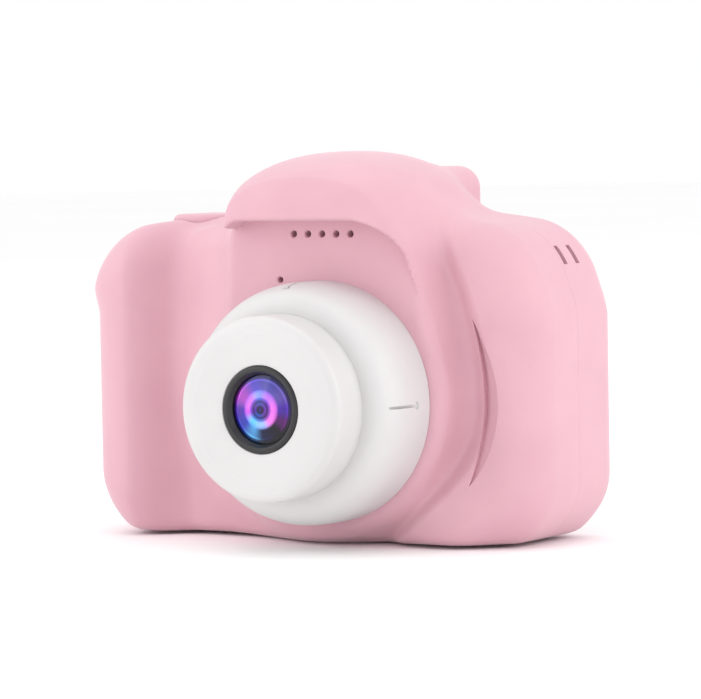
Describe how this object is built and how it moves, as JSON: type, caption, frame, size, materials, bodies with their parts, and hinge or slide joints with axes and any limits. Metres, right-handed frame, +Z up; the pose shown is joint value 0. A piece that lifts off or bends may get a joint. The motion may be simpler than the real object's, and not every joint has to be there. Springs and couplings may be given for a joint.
{
  "type": "children's digital camera",
  "caption": "Small rounded digital camera for children, with a thick round lens, a hood over sound holes, a shutter button, rear keys, a screen and a soft socket flap.",
  "frame": {"origin": "on the resting surface, under the middle of the body's width, in the plane where the two housing halves meet", "axes": "+Z up, -Y the way the lens looks, +X to the right when the lens is faced"},
  "size_m": [0.0792, 0.051, 0.0573],
  "materials": {
    "pink_housing": "soft-touch moulded plastic, fine matte",
    "soft_cover": "matte flexible moulding",
    "white_lens": "satin moulded plastic",
    "black_trim": "polished black",
    "clear_window": "clear, coated",
    "optical_glass": "coated glass",
    "white_keys": "satin moulded plastic",
    "screen_cover": "polished dark cover",
    "screen_panel": "screen glass",
    "black_plastic": "moulded black",
    "circuit_board": "green board",
    "ribbon": "amber ribbon",
    "battery_foil": "satin foil",
    "lead_cover": "insulated lead",
    "white_plastic": "moulded natural white",
    "switch_plastic": "moulded black",
    "steel_screw": "zinc-plated",
    "socket_metal": "pressed and plated",
    "rubber": "soft black",
    "light_plastic": "milky clear"
  },
  "bodies": {
    "camera_body": {"front_shell": "pink_housing", "rear_shell": "pink_housing", "lens_base": "white_lens", "lens_barrel": "white_lens", "lens_trim_ring": "black_trim", "lens_holder": "black_trim", "aperture_ring": "black_trim", "lens_window": "clear_window", "front_element": "optical_glass", "rear_element": "optical_glass", "lcd_window": "screen_cover", "lcd_panel": "screen_panel", "lcd_bracket": "black_plastic", "speaker": "black_plastic", "microphone": "black_plastic", "main_chip": "black_plastic", "memory_chip": "black_plastic", "image_sensor": "black_plastic", "main_board": "circuit_board", "camera_board": "circuit_board", "shutter_board": "circuit_board", "camera_flex": "ribbon", "lcd_flex": "ribbon", "battery": "battery_foil", "battery_leads": "lead_cover", "speaker_leads": "lead_cover", "mic_leads": "lead_cover", "battery_connector": "white_plastic", "shutter_switch": "switch_plastic", "key_switches": "switch_plastic", "reset_switch": "switch_plastic", "shell_screws": "steel_screw", "camera_screws": "steel_screw", "lens_screws": "steel_screw", "board_screws": "steel_screw", "usb_socket": "socket_metal", "card_socket": "socket_metal", "speaker_gasket": "rubber", "mic_boot": "rubber", "charge_led": "light_plastic", "light_pipe": "light_plastic"},
    "shutter": {"shutter_button": "pink_housing"},
    "socket_flap": {"port_cover": "soft_cover"},
    "up_press": {"up_key": "white_keys"},
    "down_press": {"down_key": "white_keys"},
    "left_press": {"left_key": "white_keys"},
    "right_press": {"right_key": "white_keys"},
    "ok_press": {"ok_key": "white_keys"},
    "menu_press": {"menu_key": "white_keys"},
    "power_press": {"power_key": "white_keys"}
  },
  "joints": [
    {"name": "shutter_press", "type": "slide", "parent": "camera_body", "child": "shutter", "axis": [0, 0, -1], "range_m": [0, 0.0006], "stiffness_N_per_m": 300, "springref_m": -0.0006},
    {"name": "flap_swing", "type": "hinge", "parent": "camera_body", "child": "socket_flap", "pos_m": [-0.039, 0.0014, 0.0224], "axis": [0, 0, 1], "range_deg": [0, 100]},
    {"name": "up_key_travel", "type": "slide", "parent": "camera_body", "child": "up_press", "axis": [0, -1, 0], "range_m": [0, 0.0004], "stiffness_N_per_m": 200, "springref_m": -0.0004},
    {"name": "down_key_travel", "type": "slide", "parent": "camera_body", "child": "down_press", "axis": [0, -1, 0], "range_m": [0, 0.0004], "stiffness_N_per_m": 200, "springref_m": -0.0004},
    {"name": "left_key_travel", "type": "slide", "parent": "camera_body", "child": "left_press", "axis": [0, -1, 0], "range_m": [0, 0.0004], "stiffness_N_per_m": 200, "springref_m": -0.0004},
    {"name": "right_key_travel", "type": "slide", "parent": "camera_body", "child": "right_press", "axis": [0, -1, 0], "range_m": [0, 0.0004], "stiffness_N_per_m": 200, "springref_m": -0.0004},
    {"name": "ok_key_travel", "type": "slide", "parent": "camera_body", "child": "ok_press", "axis": [0, -1, 0], "range_m": [0, 0.0004], "stiffness_N_per_m": 200, "springref_m": -0.0004},
    {"name": "menu_key_travel", "type": "slide", "parent": "camera_body", "child": "menu_press", "axis": [0, -1, 0], "range_m": [0, 0.0004], "stiffness_N_per_m": 200, "springref_m": -0.0004},
    {"name": "power_key_travel", "type": "slide", "parent": "camera_body", "child": "power_press", "axis": [0, -1, 0], "range_m": [0, 0.0004], "stiffness_N_per_m": 200, "springref_m": -0.0004}
  ]
}
